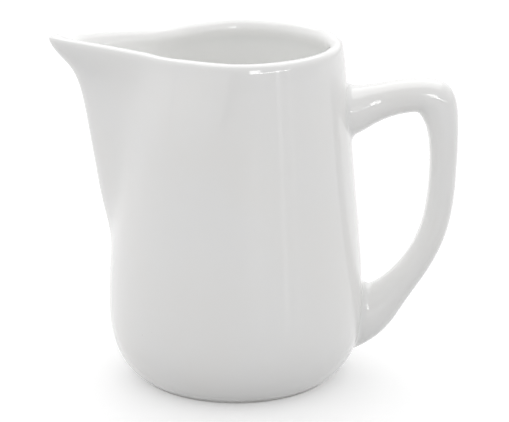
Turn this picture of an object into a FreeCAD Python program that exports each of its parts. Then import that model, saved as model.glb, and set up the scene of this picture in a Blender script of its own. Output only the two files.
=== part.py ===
"""White porcelain milk pitcher (creamer) with a beak spout and a D handle.

Frame: origin at the centre of the resting plane, +Z up, +X towards the handle, -X towards the spout.
Units are millimetres and degrees.

The vessel is a pear-shaped wall that narrows towards the rim, with a beak spout drawn out of one side.
Its wall section is one closed run: underside, outer wall, rounded rim, inner wall, floor. That run is
carried round the axis as the control net of a cubic B-spline surface. The finished vessel is then
parted where a potter parts it: the beak sits over a sloping cut in the wall, and is stuck on with slip.
The handle is a solid bar, stuck on with slip at both ends. The foot ring is the bare, unglazed ring
that the pitcher rests on.
"""

import FreeCAD, Part
import math
import os

# ---------------------------------------------------------------- driving dimensions
HEIGHT = 105.0  # resting plane to the crest of the rim
BELLY_RADIUS = 39.5  # widest outer radius
BELLY_Z = 20.0  # height of the widest level
RIM_RADIUS = 32.7  # outer radius just under the rim
TAPER_START = 0.13  # where the straight taper starts, as a share of the height from belly to rim
TAPER_SOFT = 0.10  # how softly the upright belly turns into the taper, as the same share
TURN_WIDTH = 12.7  # how far the wall draws in under the belly, down to the resting plane

WALL = 4.0  # wall thickness below the lip
LIP_WALL = 4.2  # wall thickness behind the lip
LIP_THICKENS_FROM = 55.0  # height where the wall starts to thicken towards the lip
LIP_WIDTH = 4.6  # thickness across the rounded rim
FLOOR_TOP_Z = 6.2  # height of the inside floor

FOOT_HEIGHT = 1.2  # depth of the recess under the floor
FOOT_OUTER_RADIUS = 29.9
FOOT_INNER_RADIUS = 25.0
FOOT_EDGE = 0.4  # rounding of the foot ring's lower edges

SPOUT_START_Z = 38.0  # lowest level that the beak can reach
SPOUT_REACH = (  # height, distance of the beak's front edge from the axis
    (36.5, 38.9),
    (43.5, 38.2),
    (57.0, 41.4),
    (73.0, 43.8),
    (87.0, 46.0),
    (92.0, 47.4),
    (96.0, 49.3),
    (99.2, 52.9),
    (101.6, 55.4),
    (104.1, 56.3),
)
SPOUT_ROOT_Z = 46.0  # height where the beak's two flat sides start
SPOUT_ROOT_DEG = 40.0  # angle from the front at which those sides meet the wall, at the lip
SPOUT_EDGE_DEG = 5.3  # rounding of the beak's front edge
SPOUT_FOLD_LOW = 1.0  # softness of the folds between the beak's sides and the wall, at their foot
SPOUT_FOLD_TOP = 4.0  # the same at the lip
SPOUT_RISE = 1.5  # how far the lip climbs towards the tip
SPOUT_RISE_DEG = 21.0
LIP_DIP = 0.35  # how far the lip sags beside the beak
LIP_DIP_DEG = 43.0
LIP_DIP_SPREAD_DEG = 14.0
PINCH = 2.1  # how far the mouth is drawn in beside the beak
PINCH_FROM_DEG = 60.0
PINCH_TO_DEG = 98.0
PINCH_FROM_Z = 84.0

CUT_FOOT = (-38.6, 42.5)  # x and z where the beak's sloping seam starts, at the front of the wall
CUT_TOP = (-20.5, 105.0)  # x and z where the same seam crosses the rim
SLIP = 0.5  # thickness of the slip layers

COLUMNS = 64  # control points round the vessel
FRONT_DENSITY = 0.26  # spacing of the columns at the beak, as a share of the mean spacing

HANDLE_PATH = (  # x, z, half thickness in the handle's plane, half width across it
    (30.0, 83.0, 8.8, 9.6),
    (35.5, 83.7, 7.6, 8.2),
    (40.0, 85.3, 6.0, 6.0),
    (46.5, 87.2, 5.1, 5.3),
    (54.0, 88.6, 5.2, 5.3),
    (61.2, 88.1, 7.4, 5.4),
    (63.3, 78.5, 4.7, 5.4),
    (63.5, 68.0, 4.1, 5.3),
    (63.1, 56.5, 4.2, 5.2),
    (61.2, 45.0, 4.1, 5.1),
    (56.0, 34.4, 4.2, 5.1),
    (49.0, 26.0, 4.8, 5.3),
    (42.3, 18.7, 8.2, 6.3),
    (35.5, 16.8, 10.4, 8.0),
    (30.0, 16.2, 11.4, 8.6),
)
HANDLE_COLUMNS = 16  # control points round the handle
HANDLE_SQUARENESS = 0.92  # 1 is a plain oval section, less is fuller at the corners
FILLET_RADIUS = 2.8  # radius of the slip fillets round the handle's ends
FILLET_MAX = 5.0  # furthest that a fillet runs out along the wall or the bar
FILLET_STEP = 0.15  # height of the fillet's trimmed edges
ROOT_X = 30.0  # where the fillet's hidden foot ends, inside the wall's outline

DEGREE = 3
STRIPS = 8  # faces round the vessel
BANDS = 5  # faces along its wall section


# ---------------------------------------------------------------- outlines
def body_radius(z):
    """Outer radius of the plain round body at height z."""
    if z < BELLY_Z:
        drop = (BELLY_Z - z) / BELLY_Z
        return BELLY_RADIUS - TURN_WIDTH * (1 - math.sqrt(max(0.0, 1 - drop * drop)))

    def ramp(share):
        return math.hypot(share - TAPER_START, TAPER_SOFT) + share

    share = (z - BELLY_Z) / (HEIGHT - BELLY_Z)
    narrowing = (ramp(share) - ramp(0)) / (ramp(1) - ramp(0))
    return BELLY_RADIUS - (BELLY_RADIUS - RIM_RADIUS) * narrowing


def wall_thickness(z):
    share = (z - LIP_THICKENS_FROM) / (HEIGHT - 10 - LIP_THICKENS_FROM)
    return WALL + (LIP_WALL - WALL) * min(1.0, max(0.0, share))


def spout_reach(z):
    """Distance of the beak's front edge from the axis, by straight steps between the outline's points."""
    if z < SPOUT_START_Z:
        return 0.0
    for (z0, r0), (z1, r1) in zip(SPOUT_REACH, SPOUT_REACH[1:]):
        if z <= z1:
            return r0 + (r1 - r0) * (z - z0) / (z1 - z0)
    return SPOUT_REACH[-1][1]


def spout_wall(z):
    """Horizontal thickness of the beak's front edge, which grows as the beak leans out."""
    return WALL + 4.3 * (max(0.0, z - 50.0) / 50.0) ** 1.7


def lift_share(z):
    """Share of the lip's climb towards the tip that a level takes."""
    return min(1.0, max(0.0, (z - 85.0) / 15.0))


def pinch(z, angle=0.0):
    """How far the wall is drawn in at a height, and at an angle from the beak."""
    height_share = min(1.0, max(0.0, (z - PINCH_FROM_Z) / (HEIGHT - 5 - PINCH_FROM_Z)))
    turn = (math.degrees(abs(angle)) - PINCH_FROM_DEG) / (PINCH_TO_DEG - PINCH_FROM_DEG)
    return PINCH * height_share * math.cos(math.pi / 2 * min(1.0, max(0.0, turn))) ** 2


def outer_rows(grow=0.0):
    """(radius, z, spout reach, lift share) up the outer wall; grow offsets the wall outwards."""
    levels = (FOOT_HEIGHT, 2.6, 5, 9, 14.5, 21, 28.5, 36.5, 43.5, 50, 57, 65, 73, 80.5, 87, 92, 96, 99.2)
    rows = []
    for z in levels:
        radius = body_radius(z) + grow
        rows.append((radius, z, max(radius, spout_reach(z) + grow), lift_share(z)))
    return rows


def rim_rows():
    """The rounded rim, over the crest to its inner side, which stands a little proud of the wall."""
    outer, inner = RIM_RADIUS, RIM_RADIUS - LIP_WIDTH
    crest = HEIGHT + 0.2
    return [
        (outer + 0.05, HEIGHT - 2.9, 55.2, 1.0),
        (outer - 0.25, HEIGHT - 0.7, 56.3, 1.0),
        (outer - 1.3, crest, 55.6, 1.0),
        (outer - 3.0, crest, 52.0, 1.0),
        (inner + 0.25, HEIGHT - 1.0, 49.2, 1.0),
        (inner - 0.3, HEIGHT - 3.0, 46.6, 0.9),
    ]


def inner_rows():
    """Down the inner wall, round the heel and across the floor to the floor's flat centre."""
    rows = []
    for z in (99.4, 95, 88.5, 80.5, 73, 65, 57, 50, 43, 36, 28, 20):
        radius = body_radius(z) - wall_thickness(z)
        rows.append((radius, z, max(radius, spout_reach(z) - spout_wall(z)), lift_share(z)))
    for radius, z in ((34.0, 13.5), (31.2, 9.0), (27.5, 6.9), (23.0, FLOOR_TOP_Z + 0.1), (19.0, FLOOR_TOP_Z)):
        rows.append((radius, z, radius, 0.0))
    return rows


# ---------------------------------------------------------------- control nets
def column_angles():
    """(angle from the beak, angular spacing) of each column, closer together at the beak."""
    angles = []
    for i in range(COLUMNS):
        theta = math.pi / 2 + 2 * math.pi * i / COLUMNS
        theta = (theta + math.pi) % (2 * math.pi) - math.pi
        spacing = 2 * math.pi / COLUMNS * (1 - (1 - FRONT_DENSITY) * math.cos(theta))
        angles.append((theta - (1 - FRONT_DENSITY) * math.sin(theta), spacing))
    return angles


def beak_sides(z):
    """Half angle between the beak's flat sides at a height, and the sides' distance from the axis."""
    radius = body_radius(z) - pinch(z)
    reach = spout_reach(z)
    root = math.radians(SPOUT_ROOT_DEG) * math.sqrt(max(0.04, (z - SPOUT_ROOT_Z) / (HEIGHT - SPOUT_ROOT_Z)))
    edge = min(math.radians(SPOUT_EDGE_DEG), root / 2)
    rise = radius * math.sin(root) - reach * math.sin(edge)
    run = reach * math.cos(edge) - radius * math.cos(root)
    half_angle = math.atan2(rise, run)
    return half_angle, radius * math.sin(root + half_angle)


def wall_radius(angle, radius, z, reach):
    """Distance from the axis to a run of the wall, at an angle from the beak."""
    drawn_in = radius - pinch(z, angle)
    if reach <= radius + 1e-6:
        return drawn_in
    half_angle, distance = beak_sides(z)
    distance -= body_radius(z) - radius
    edge = max(0.02, math.asin(min(0.99, distance / reach)) - half_angle)
    turn = min(math.pi / 2, math.hypot(angle, edge) + half_angle)
    side = distance / math.sin(turn)
    height_share = min(1.0, max(0.0, (z - 50.0) / 55.0))
    fold = SPOUT_FOLD_LOW + (SPOUT_FOLD_TOP - SPOUT_FOLD_LOW) * height_share**2
    overlap = max(0.0, 1 - abs(side - drawn_in) / fold)
    return max(side, drawn_in) + fold * overlap**2 / 4


def lip_climb(degrees):
    """How far the lip stands above its level run, at an angle from the beak."""
    tip = SPOUT_RISE * math.exp(-((degrees / SPOUT_RISE_DEG) ** 2))
    sag = LIP_DIP * math.exp(-(((degrees - LIP_DIP_DEG) / LIP_DIP_SPREAD_DEG) ** 2))
    return tip - sag


def vessel_net(rows):
    """Control points, one list per column. Radii are raised so that the smoothed surface keeps its size."""
    net = []
    for angle, spacing in column_angles():
        raised = 3 / (2 + math.cos(spacing))
        climb = lip_climb(math.degrees(abs(angle)))
        column = []
        for radius, z, reach, lift in rows:
            r = wall_radius(angle, radius, z, reach) * raised
            column.append(FreeCAD.Vector(-r * math.cos(angle), -r * math.sin(angle), z + lift * climb))
        net.append(column)
    return net


def skin_surface(net):
    """A cubic B-spline surface, periodic round the net's first index and clamped along its second."""
    around, along = len(net), len(net[0])
    surface = Part.BSplineSurface()
    surface.buildFromPolesMultsKnots(
        net,
        [1] * (around + 1),
        [DEGREE + 1] + [1] * (along - DEGREE - 1) + [DEGREE + 1],
        list(range(around + 1)),
        list(range(along - DEGREE + 1)),
        True,
        False,
        DEGREE,
        DEGREE,
    )
    return surface


def tube_solid(net, strips=1, bands=1):
    """A closed solid over a net, its skin shared between strips x bands faces, with flat end caps."""
    around, along = len(net), len(net[0]) - DEGREE
    faces = []
    for i in range(strips):
        for j in range(bands):
            patch = skin_surface(net)
            patch.segment(
                around * i // strips,
                around * (i + 1) // strips,
                along * j // bands,
                along * (j + 1) // bands,
            )
            faces.append(patch.toShape())
    for level in (0, along):
        ring = [edge for face in faces for edge in face.Edges if on_level(edge, net, level)]
        faces.append(Part.Face(Part.Wire(Part.sortEdges(ring)[0])))
    shell = Part.makeShell(faces)
    shell.sewShape()
    solid = Part.makeSolid(shell)
    if solid.Volume < 0:
        solid.reverse()
    return solid


def on_level(edge, net, level):
    """Whether an edge lies in the flat ring at the net's first or last row."""
    row = [column[0 if level == 0 else -1] for column in net]
    normal = (row[len(row) // 4] - row[0]).cross(row[len(row) // 2] - row[0]).normalize()
    middle = (edge.FirstParameter + edge.LastParameter) / 2
    points = [edge.valueAt(edge.FirstParameter), edge.valueAt(middle), edge.valueAt(edge.LastParameter)]
    return all(abs((point - row[0]).dot(normal)) < 1e-6 for point in points)


# ---------------------------------------------------------------- vessel, beak and seam
def vessel_solid():
    return tube_solid(vessel_net(outer_rows() + rim_rows() + inner_rows()), STRIPS, BANDS)


def outer_envelope(grow=0.0):
    """Everything inside the outer wall, carried on upwards: a cutting tool for what sits against it."""
    rows = [(radius, z, reach, 0.0) for radius, z, reach, lift in outer_rows(grow)]
    for step in range(4):
        rows.append((RIM_RADIUS + grow, HEIGHT + 6 * step, RIM_RADIUS + grow, 0.0))
    return tube_solid(vessel_net(rows))


def seam_slab(offset_low, offset_high):
    """A block between two planes parallel to the beak's sloping seam; offsets grow towards the beak."""
    run = CUT_TOP[0] - CUT_FOOT[0]
    rise = CUT_TOP[1] - CUT_FOOT[1]
    tilt = math.degrees(math.atan2(run, rise))
    size = 4 * HEIGHT
    block = Part.makeBox(offset_high - offset_low, size, size)
    block.translate(FreeCAD.Vector(-offset_high, -size / 2, -size / 2))
    block.rotate(FreeCAD.Vector(0, 0, 0), FreeCAD.Vector(0, 1, 0), tilt)
    block.translate(FreeCAD.Vector(CUT_FOOT[0], 0, CUT_FOOT[1]))
    return block


def split_vessel(vessel):
    """Body, beak and the slip seam between them."""
    far = 3 * HEIGHT
    beak = vessel.common(seam_slab(SLIP / 2, far))
    seam = vessel.common(seam_slab(-SLIP / 2, SLIP / 2))
    body = vessel.cut(seam_slab(-SLIP / 2, far))
    return body, beak, seam


# ---------------------------------------------------------------- handle and its slip joints
def handle_frames(rows):
    """Unit vectors across the path, in the handle's plane, at each row."""
    normals = []
    for i in range(len(rows)):
        before, after = rows[max(0, i - 1)], rows[min(len(rows) - 1, i + 1)]
        dx, dz = after[0] - before[0], after[1] - before[1]
        length = math.hypot(dx, dz)
        normals.append((-dz / length, dx / length))
    return normals


def bar_net(rows):
    """Control points of a bar of oval section along rows of (x, z, half thickness, half width)."""
    raised = 3 / (2 + math.cos(2 * math.pi / HANDLE_COLUMNS))
    normals = handle_frames(rows)
    net = []
    for i in range(HANDLE_COLUMNS):
        angle = 2 * math.pi * i / HANDLE_COLUMNS
        across = math.copysign(abs(math.cos(angle)) ** HANDLE_SQUARENESS, math.cos(angle)) * raised
        aside = math.copysign(abs(math.sin(angle)) ** HANDLE_SQUARENESS, math.sin(angle)) * raised
        column = []
        for (x, z, half_thick, half_wide), (nx, nz) in zip(rows, normals):
            column.append(
                FreeCAD.Vector(x + nx * half_thick * across, half_wide * aside, z + nz * half_thick * across)
            )
        net.append(column)
    return net


def finished_wall():
    """(height, radius) points up the finished outer wall on the handle's side."""
    surface = skin_surface(vessel_net(outer_rows() + rim_rows() + inner_rows()))
    points = [surface.value(COLUMNS / 4 - 1, step / 10) for step in range(160)]
    return [(point.z, math.hypot(point.x, point.y)) for point in points]


def wall_at(wall, z):
    """Radius of the finished wall at a height."""
    for (z0, r0), (z1, r1) in zip(wall, wall[1:]):
        if z <= z1:
            return r0 + (r1 - r0) * (z - z0) / (z1 - z0)
    return wall[-1][1]


def wall_normal(wall, point):
    """Unit normal of the finished wall beside a point."""
    slope = wall_at(wall, point.z + 0.5) - wall_at(wall, point.z - 0.5)
    radius = math.hypot(point.x, point.y)
    return FreeCAD.Vector(point.x / radius, point.y / radius, -slope).normalize()


def onto_wall(wall, point):
    """The point moved level with itself onto the finished wall."""
    scale = wall_at(wall, point.z) / math.hypot(point.x, point.y)
    return FreeCAD.Vector(point.x * scale, point.y * scale, point.z)


def crossing(wall, bar, u, inside, outside):
    """Parameter where one of the bar's long lines comes out through the wall, by halving."""
    for _ in range(30):
        middle = (inside + outside) / 2
        point = bar.value(u, middle)
        if math.hypot(point.x, point.y) < wall_at(wall, point.z):
            inside = middle
        else:
            outside = middle
    return (inside + outside) / 2


def collar_column(wall, bar, u, inside, outside, core_level):
    """One line of the slip fillet: out of the wall, up the concave blend, and into the bar's core."""
    level = crossing(wall, bar, u, inside, outside)
    corner = bar.value(u, level)
    centre = (bar.value(0, level) + bar.value(HANDLE_COLUMNS / 2, level)) * 0.5
    step = math.copysign(0.05, outside - inside)
    along = (bar.value(u, level + step) - corner) * (1 / abs(step))
    speed = along.Length
    along.normalize()
    off_bar = corner - centre
    off_bar = (off_bar - along * off_bar.dot(along)).normalize()
    off_wall = wall_normal(wall, corner)
    aside = (off_bar - off_wall * off_bar.dot(off_wall)).normalize()
    wedge = math.acos(max(-0.99, min(0.99, aside.dot(along))))
    reach = min(FILLET_MAX, FILLET_RADIUS / math.tan(wedge / 2))
    foot = onto_wall(wall, corner + aside * reach)
    off_foot = wall_normal(wall, foot)
    top_level = level + math.copysign(reach / speed, step)
    top = bar.value(u, top_level)
    core = bar.value(u, core_level)
    core_centre = (bar.value(0, core_level) + bar.value(HANDLE_COLUMNS / 2, core_level)) * 0.5
    return [
        FreeCAD.Vector(ROOT_X, foot.y, foot.z),
        foot - off_foot * 1.6,
        foot - off_foot * 0.5,
        foot + off_foot * FILLET_STEP,
        corner + (off_bar + off_wall) * FILLET_STEP,
        top + off_bar * FILLET_STEP,
        top - off_bar * 0.6,
        top - off_bar * 1.6,
        core_centre + (core - core_centre) * 0.4,
    ]


def slip_joint(end, handle, envelope, wall):
    """The slip between one end of the handle and the wall, with its fillet round the bar."""
    bar = skin_surface(bar_net(HANDLE_PATH))
    spans = len(HANDLE_PATH) - DEGREE
    if end == "upper":
        inside, outside, core_level = 0.0, 4.0, 1.2
    else:
        inside, outside, core_level = spans, spans - 4.5, spans - 2.1
    net = [collar_column(wall, bar, u, inside, outside, core_level) for u in range(HANDLE_COLUMNS)]
    joint = tube_solid(net).cut(envelope).cut(handle)
    return max(joint.Solids, key=lambda solid: solid.Volume)


# ---------------------------------------------------------------- foot
def foot_ring():
    """The bare ring under the floor: flat on the ground, with rounded lower edges."""
    top_radius = body_radius(FOOT_HEIGHT) - 0.3
    section = Part.Face(
        Part.makePolygon(
            [
                FreeCAD.Vector(FOOT_INNER_RADIUS, 0, 0),
                FreeCAD.Vector(FOOT_OUTER_RADIUS, 0, 0),
                FreeCAD.Vector(top_radius, 0, FOOT_HEIGHT),
                FreeCAD.Vector(FOOT_INNER_RADIUS - 0.4, 0, FOOT_HEIGHT),
                FreeCAD.Vector(FOOT_INNER_RADIUS, 0, 0),
            ]
        )
    )
    ring = section.revolve(FreeCAD.Vector(0, 0, 0), FreeCAD.Vector(0, 0, 1), 360)
    lower_edges = [edge for edge in ring.Edges if abs(edge.BoundBox.ZMax) < 1e-6 and edge.isClosed()]
    return ring.makeFillet(FOOT_EDGE, lower_edges)


# ---------------------------------------------------------------- assembly
def build():
    vessel = vessel_solid()
    body, beak, seam = split_vessel(vessel)
    envelope = outer_envelope()
    wall = finished_wall()
    handle = tube_solid(bar_net(HANDLE_PATH), 2, 4).cut(outer_envelope(SLIP))
    handle = max(handle.Solids, key=lambda solid: solid.Volume)
    return {
        "body": body,
        "spout": beak,
        "spout_slip_seam": seam,
        "handle": handle,
        "handle_upper_slip_joint": slip_joint("upper", handle, envelope, wall),
        "handle_lower_slip_joint": slip_joint("lower", handle, envelope, wall),
        "foot_ring": foot_ring(),
    }


os.makedirs("parts", exist_ok=True)
for node, shape in build().items():
    print(node, "solids", len(shape.Solids), "valid", shape.isValid(), "volume mm3", round(shape.Volume, 1))
    shape.exportStep("parts/" + node + ".step")
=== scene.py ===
"""White porcelain milk pitcher on a pale studio floor.

The shapes are the same spline nets as the CAD part, drawn densely so that the gloss glaze reflects
cleanly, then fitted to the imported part's boxes. Lengths in the nets are millimetres; every Blender
object is in metres, in the part's frame: +Z up, -X to the spout, +X to the handle.
"""

import math

import bmesh
import bpy
import numpy as np
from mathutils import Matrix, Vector


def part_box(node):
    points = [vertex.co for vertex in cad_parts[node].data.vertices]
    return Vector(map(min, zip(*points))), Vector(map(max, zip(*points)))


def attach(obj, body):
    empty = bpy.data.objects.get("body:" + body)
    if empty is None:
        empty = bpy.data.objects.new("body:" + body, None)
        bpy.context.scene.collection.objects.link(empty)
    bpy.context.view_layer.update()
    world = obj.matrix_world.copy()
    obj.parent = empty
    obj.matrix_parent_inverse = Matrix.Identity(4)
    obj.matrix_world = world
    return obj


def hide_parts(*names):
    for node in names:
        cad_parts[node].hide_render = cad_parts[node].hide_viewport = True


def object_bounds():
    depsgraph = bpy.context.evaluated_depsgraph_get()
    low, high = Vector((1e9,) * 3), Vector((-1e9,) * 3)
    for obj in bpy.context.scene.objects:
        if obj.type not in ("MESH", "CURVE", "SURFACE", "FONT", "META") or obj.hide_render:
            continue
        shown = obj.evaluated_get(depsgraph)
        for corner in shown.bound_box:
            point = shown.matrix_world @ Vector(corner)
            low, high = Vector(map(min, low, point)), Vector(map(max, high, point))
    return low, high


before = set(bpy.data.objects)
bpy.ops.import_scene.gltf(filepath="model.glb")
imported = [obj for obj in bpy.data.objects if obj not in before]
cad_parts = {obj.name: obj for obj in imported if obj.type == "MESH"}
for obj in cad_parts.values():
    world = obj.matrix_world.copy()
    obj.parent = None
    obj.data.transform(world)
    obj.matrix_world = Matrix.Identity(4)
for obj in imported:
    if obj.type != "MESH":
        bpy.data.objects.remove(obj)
cad_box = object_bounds()

MM = 0.001
BODY = "root"

# ---------------------------------------------------------------- shape of the vessel, as in the CAD part
HEIGHT = 105.0  # resting plane to the crest of the rim
BELLY_RADIUS = 39.5  # widest outer radius
BELLY_Z = 20.0  # height of the widest level
RIM_RADIUS = 32.7  # outer radius just under the rim
TAPER_START = 0.13  # where the straight taper starts, as a share of the height from belly to rim
TAPER_SOFT = 0.10  # how softly the upright belly turns into the taper, as the same share
TURN_WIDTH = 12.7  # how far the wall draws in under the belly, down to the resting plane
WALL = 4.0  # wall thickness below the lip
LIP_WALL = 4.2  # wall thickness behind the lip
LIP_THICKENS_FROM = 55.0  # height where the wall starts to thicken towards the lip
LIP_WIDTH = 4.6  # thickness across the rounded rim
FLOOR_TOP_Z = 6.2  # height of the inside floor
FOOT_HEIGHT = 1.2  # depth of the recess under the floor
FOOT_OUTER_RADIUS = 29.9
FOOT_INNER_RADIUS = 25.0
FOOT_EDGE = 0.4  # rounding of the foot ring's lower edges
SPOUT_START_Z = 38.0  # lowest level that the beak can reach
SPOUT_REACH = (  # height, distance of the beak's front edge from the axis
    (36.5, 38.9),
    (43.5, 38.2),
    (57.0, 41.4),
    (73.0, 43.8),
    (87.0, 46.0),
    (92.0, 47.4),
    (96.0, 49.3),
    (99.2, 52.9),
    (101.6, 55.4),
    (104.1, 56.3),
)
SPOUT_ROOT_Z = 46.0  # height where the beak's two flat sides start
SPOUT_ROOT_DEG = 40.0  # angle from the front at which those sides meet the wall, at the lip
SPOUT_EDGE_DEG = 5.3  # rounding of the beak's front edge
SPOUT_FOLD_LOW = 1.0  # softness of the folds between the beak's sides and the wall, at their foot
SPOUT_FOLD_TOP = 4.0  # the same at the lip
SPOUT_FOLD_FROM_Z = 50.0  # height from which the folds soften
SPOUT_WALL_GROWTH = 4.3  # how much thicker the beak's front edge is at 100 mm, measured level
SPOUT_WALL_POWER = 1.7
SPOUT_RISE = 1.5  # how far the lip climbs towards the tip
SPOUT_RISE_DEG = 21.0
LIP_DIP = 0.35  # how far the lip sags beside the beak
LIP_DIP_DEG = 43.0
LIP_DIP_SPREAD_DEG = 14.0
LIFT_FROM_Z = 85.0  # levels from here take a growing share of the lip's climb
LIFT_OVER = 15.0
PINCH = 2.1  # how far the mouth is drawn in beside the beak
PINCH_FROM_DEG = 60.0
PINCH_TO_DEG = 98.0
PINCH_FROM_Z = 84.0
CUT_FOOT = (-38.6, 42.5)  # x and z where the beak's sloping seam starts, at the front of the wall
CUT_TOP = (-20.5, 105.0)  # x and z where the same seam crosses the rim
SLIP = 0.5  # thickness of the slip layers
COLUMNS = 64  # control points round the vessel
FRONT_DENSITY = 0.26  # spacing of the columns at the beak, as a share of the mean spacing
HANDLE_PATH = (  # x, z, half thickness in the handle's plane, half width across it
    (30.0, 83.0, 8.8, 9.6),
    (35.5, 83.7, 7.6, 8.2),
    (40.0, 85.3, 6.0, 6.0),
    (46.5, 87.2, 5.1, 5.3),
    (54.0, 88.6, 5.2, 5.3),
    (61.2, 88.1, 7.4, 5.4),
    (63.3, 78.5, 4.7, 5.4),
    (63.5, 68.0, 4.1, 5.3),
    (63.1, 56.5, 4.2, 5.2),
    (61.2, 45.0, 4.1, 5.1),
    (56.0, 34.4, 4.2, 5.1),
    (49.0, 26.0, 4.8, 5.3),
    (42.3, 18.7, 8.2, 6.3),
    (35.5, 16.8, 10.4, 8.0),
    (30.0, 16.2, 11.4, 8.6),
)
HANDLE_COLUMNS = 16  # control points round the handle
HANDLE_SQUARENESS = 0.92  # 1 is a plain oval section, less is fuller at the corners
FILLET_RADIUS = 2.8  # radius of the slip fillets round the handle's ends
FILLET_MAX = 5.0  # furthest that a fillet runs out along the wall or the bar

# ---------------------------------------------------------------- mesh density
VESSEL_AROUND = 4  # steps per control column round the vessel
VESSEL_ALONG = 4  # steps per control row along its wall section
BAR_AROUND = 5  # steps per control column round the handle
BAR_STEPS = 150  # steps along the handle between its two slip joints
BAR_REACH = 4.0  # the bar leaves the wall within this many control rows of its upper end
BAR_REACH_LOW = 4.5  # the same at its lower end
FILLET_STEPS = 12  # steps up a fillet, from the wall to the bar
FILLET_FULLNESS = 0.62  # length of the fillet curve's tangents, as a share of its reach
FILLET_SINK = 0.08  # how deep the fillet's foot stands in the wall, so that no gap shows
UNDER_STEPS = 4  # steps of a slip layer back under the bar
POOLED_AND_SHADED_BEND = 150.0  # per metre, the fillets' hollow as the glaze sees it, which darkens them with pooled glaze and painted shade
DISC_RINGS = 5  # rings in a flat or curved end
OUTER_ROW = 10  # a step of the vessel's run that lies on the outer wall
DEGREE = 3  # of the splines
FOOT_STEPS = 256  # steps round the foot ring
FOOT_EDGE_STEPS = 6  # steps over its rounded inner edge
FOOT_FLAT_STEPS = 6  # steps across the flat that it stands on
FOOT_SLOPE_STEPS = 7  # steps over its outer edge, up to the slope
FOOT_SLOPE_INSET = 0.55  # how far in that edge's centre lies, as a share of its rounding
FOOT_CREASE = math.radians(40)  # its faces that meet more steeply than this meet in a sharp edge
CUT_TOLERANCE = 1e-8  # metres
UNDERSIDE_TOP = FOOT_HEIGHT + 0.2  # the flat recess under the floor lies below this height
LEVEL = 0.999  # a face whose normal has at least this much of up or down is flat
HALVINGS = 34  # of the interval in which a crossing is sought


# ---------------------------------------------------------------- outlines
def body_radius(z):
    """Outer radius of the plain round body at height z."""
    if z < BELLY_Z:
        drop = (BELLY_Z - z) / BELLY_Z
        return BELLY_RADIUS - TURN_WIDTH * (1 - math.sqrt(max(0.0, 1 - drop * drop)))

    def ramp(share):
        return math.hypot(share - TAPER_START, TAPER_SOFT) + share

    share = (z - BELLY_Z) / (HEIGHT - BELLY_Z)
    narrowing = (ramp(share) - ramp(0)) / (ramp(1) - ramp(0))
    return BELLY_RADIUS - (BELLY_RADIUS - RIM_RADIUS) * narrowing


def wall_thickness(z):
    share = (z - LIP_THICKENS_FROM) / (HEIGHT - 10 - LIP_THICKENS_FROM)
    return WALL + (LIP_WALL - WALL) * min(1.0, max(0.0, share))


def spout_reach(z):
    """Distance of the beak's front edge from the axis, by straight steps between the outline's points."""
    if z < SPOUT_START_Z:
        return 0.0
    for (z0, r0), (z1, r1) in zip(SPOUT_REACH, SPOUT_REACH[1:]):
        if z <= z1:
            return r0 + (r1 - r0) * (z - z0) / (z1 - z0)
    return SPOUT_REACH[-1][1]


def spout_wall(z):
    """Level thickness of the beak's front edge, which grows as the beak leans out."""
    share = max(0.0, z - SPOUT_FOLD_FROM_Z) / SPOUT_FOLD_FROM_Z
    return WALL + SPOUT_WALL_GROWTH * share**SPOUT_WALL_POWER


def lift_share(z):
    """Share of the lip's climb towards the tip that a level takes."""
    return min(1.0, max(0.0, (z - LIFT_FROM_Z) / LIFT_OVER))


def pinch(z, angle=0.0):
    """How far the wall is drawn in at a height, and at an angle from the beak."""
    height_share = min(1.0, max(0.0, (z - PINCH_FROM_Z) / (HEIGHT - 5 - PINCH_FROM_Z)))
    turn = (math.degrees(abs(angle)) - PINCH_FROM_DEG) / (PINCH_TO_DEG - PINCH_FROM_DEG)
    return PINCH * height_share * math.cos(math.pi / 2 * min(1.0, max(0.0, turn))) ** 2


def outer_rows():
    """(radius, z, spout reach, lift share) up the outer wall."""
    levels = (FOOT_HEIGHT, 2.6, 5, 9, 14.5, 21, 28.5, 36.5, 43.5, 50, 57, 65, 73, 80.5, 87, 92, 96, 99.2)
    return [(body_radius(z), z, max(body_radius(z), spout_reach(z)), lift_share(z)) for z in levels]


def rim_rows():
    """The rounded rim, over the crest to its inner side, which stands a little proud of the wall."""
    outer, inner = RIM_RADIUS, RIM_RADIUS - LIP_WIDTH
    crest = HEIGHT + 0.2
    return [
        (outer + 0.05, HEIGHT - 2.9, 55.2, 1.0),
        (outer - 0.25, HEIGHT - 0.7, 56.3, 1.0),
        (outer - 1.3, crest, 55.6, 1.0),
        (outer - 3.0, crest, 52.0, 1.0),
        (inner + 0.25, HEIGHT - 1.0, 49.2, 1.0),
        (inner - 0.3, HEIGHT - 3.0, 46.6, 0.9),
    ]


def inner_rows():
    """Down the inner wall, round the heel and across the floor to the floor's flat centre."""
    rows = []
    for z in (99.4, 95, 88.5, 80.5, 73, 65, 57, 50, 43, 36, 28, 20):
        radius = body_radius(z) - wall_thickness(z)
        rows.append((radius, z, max(radius, spout_reach(z) - spout_wall(z)), lift_share(z)))
    for radius, z in ((34.0, 13.5), (31.2, 9.0), (27.5, 6.9), (23.0, FLOOR_TOP_Z + 0.1), (19.0, FLOOR_TOP_Z)):
        rows.append((radius, z, radius, 0.0))
    return rows


def beak_sides(z):
    """Half angle between the beak's flat sides at a height, and the sides' distance from the axis."""
    radius = body_radius(z) - pinch(z)
    reach = spout_reach(z)
    root = math.radians(SPOUT_ROOT_DEG) * math.sqrt(max(0.04, (z - SPOUT_ROOT_Z) / (HEIGHT - SPOUT_ROOT_Z)))
    edge = min(math.radians(SPOUT_EDGE_DEG), root / 2)
    rise = radius * math.sin(root) - reach * math.sin(edge)
    run = reach * math.cos(edge) - radius * math.cos(root)
    half_angle = math.atan2(rise, run)
    return half_angle, radius * math.sin(root + half_angle)


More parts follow.
